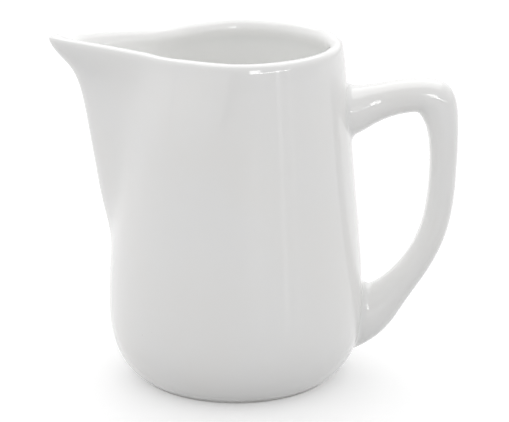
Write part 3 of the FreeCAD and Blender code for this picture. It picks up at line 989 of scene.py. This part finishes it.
master = vessel_master()
beak_side = seam_plane(SLIP / 2)
body_side = seam_plane(-SLIP / 2)
body_piece = cut_piece("body_glazed", master, [body_side])
seam_piece = cut_piece("spout_seam_glazed", master, [beak_side, (body_side[0], -body_side[1])])
beak_piece = cut_piece("spout_glazed", master, [(beak_side[0], -beak_side[1])])
dress(body_piece, glaze, "glazed_porcelain", "body")
dress(beak_piece, glaze, "glazed_porcelain", "spout")
dress(seam_piece, slip_glaze, "glazed_slip", "spout_slip_seam")

bar = bar_net()
handle_parts = build_handle(bar)


def place_handle(points):
    """Millimetre points of the bar in metres; the bar's far side meets the CAD box."""
    reach = handle_parts[0][..., 0].max() * MM
    return points * MM + np.array([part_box("handle")[1].x - reach, 0, 0])


verts, faces, corners, bends = close_with_discs(*handle_parts)
handle_piece = new_piece("handle_glazed", place_handle(verts), faces, corners, {"bend": bends})
dress(handle_piece, glaze, "glazed_porcelain", "handle")
for end in ("upper", "lower"):
    joint_piece = build_joint_piece(f"handle_{end}_slip_glazed", bar, end, place_handle)
    dress(joint_piece, slip_glaze, "glazed_slip", f"handle_{end}_slip_joint")

dress(build_foot_ring(), biscuit, "biscuit_porcelain", "foot_ring")

# ---------------------------------------------------------------- studio
CAMERA_ELEVATION = math.radians(17.7)
CAMERA_DISTANCE = 0.650
LENS = 149.326  # focal length, in mm like the sensor's width
SENSOR = 36.0
AIM_SHIFT = (-0.0002, -0.0019)  # metres right and up from the middle of the part's box to the aim point

low, high = cad_box
target = Vector(((low[0] + high[0]) / 2 + AIM_SHIFT[0], 0.0, (low[2] + high[2]) / 2 + AIM_SHIFT[1]))
back = Vector((0, -math.cos(CAMERA_ELEVATION), math.sin(CAMERA_ELEVATION)))
camera_data = bpy.data.cameras.new("camera")
camera_data.lens = LENS
camera_data.sensor_width = SENSOR
camera_data.sensor_fit = "HORIZONTAL"
camera_data.clip_start = 0.01
camera = bpy.data.objects.new("camera", camera_data)
camera.location = target + back * CAMERA_DISTANCE
camera.rotation_euler = (-back).to_track_quat("-Z", "Y").to_euler()
bpy.context.scene.collection.objects.link(camera)
bpy.context.scene.camera = camera


def reflection_card(name, middle, toward, size, radiance):
    """
    A card of light that only shows as a reflection in the glaze.

    toward is the point it faces, size its width and height; radiance is its
    brightness, where 1 renders as white.
    """
    data = bpy.data.lights.new(name, "AREA")
    data.shape = "RECTANGLE"
    data.size, data.size_y = size
    data.energy = math.pi * size[0] * size[1] * radiance
    card = bpy.data.objects.new(name, data)
    card.location = middle
    card.rotation_euler = (Vector(toward) - Vector(middle)).to_track_quat("-Z", "Y").to_euler()
    card.visible_diffuse = False
    card.visible_camera = False
    bpy.context.scene.collection.objects.link(card)
    return card


reflection_card("overhead_card", (0.0, 0.35, 1.0), (0.0, 0.349, 0.0), (1.4, 1.5), 1.8)
reflection_card("left_card_rear", (-0.272, -0.022, 0.075), (0, -0.03, 0.075), (0.20, 0.15), 0.5)
reflection_card("left_card_front", (-0.205, -0.275, 0.075), (0, -0.15, 0.075), (0.32, 0.15), 0.5)
reflection_card("right_rod", (0.066, -0.085, 0.06), (0.013, -0.036, 0.06), (0.007, 0.12), 1.1)
reflection_card("front_lamp", (0.588, -0.809, 0.197), (0, 0, 0.1), (0.86, 0.030), 7.5)
reflection_card("elbow_lamp", (0.314, -0.945, 0.305), (0.06, -0.005, 0.089), (0.24, 0.22), 7.0)
reflection_card("right_rod_thin", (0.082, -0.072, 0.06), (0.017, -0.034, 0.06), (0.004, 0.12), 0.8)

# The light tent: brightness of the surrounding cloth by the sine of the elevation.
TENT = ((0.0, 0.72), (0.16, 0.82), (0.30, 1.18), (0.50, 1.15), (0.72, 1.01), (0.88, 0.76), (1.0, 0.65))
TENT_BEHIND = 0.22  # how much brighter the cloth is behind than abreast

world = bpy.data.worlds.new("light_tent")
bpy.context.scene.world = world
world.use_nodes = True
w = Nodes(world.node_tree)
direction = w.add("ShaderNodeSeparateXYZ", {0: w.add("ShaderNodeTexCoord").outputs["Generated"]})
cloth = w.add("ShaderNodeFloatCurve", {"Value": direction.outputs["Z"]})
curve = cloth.mapping.curves[0]
cloth.mapping.use_clip = False
for point, (sine, brightness) in zip(curve.points, (TENT[0], TENT[-1])):
    point.location = (sine, brightness)
for sine, brightness in TENT[1:-1]:
    curve.points.new(sine, brightness)
cloth.mapping.update()
behind = w.math("ADD", w.math("MULTIPLY", direction.outputs["Y"], TENT_BEHIND), 1.0)
sky = w.add(
    "ShaderNodeBackground",
    {"Color": (1.0, 0.998, 0.998, 1), "Strength": w.math("MULTIPLY", cloth.outputs[0], behind)},
)
w.add("ShaderNodeOutputWorld", {"Surface": sky.outputs["Background"]})

FLOOR_HALF = 3.0
floor_corners = [(x * FLOOR_HALF, y * FLOOR_HALF, 0) for x, y in ((-1, -1), (1, -1), (1, 1), (-1, 1))]
floor_mesh = bpy.data.meshes.new("floor")
floor_mesh.from_pydata(floor_corners, [], [(0, 1, 2, 3)])
floor = bpy.data.objects.new("floor", floor_mesh)
floor.location.z = -FLOOR_GAP
floor.data.materials.append(floor_material())
bpy.context.scene.collection.objects.link(floor)

view = bpy.context.scene.view_settings
view.view_transform = "Standard"
view.look = "None"
bpy.context.scene.cycles.use_denoising = True
bpy.context.scene.cycles.max_bounces = 20
bpy.context.scene.cycles.diffuse_bounces = 16
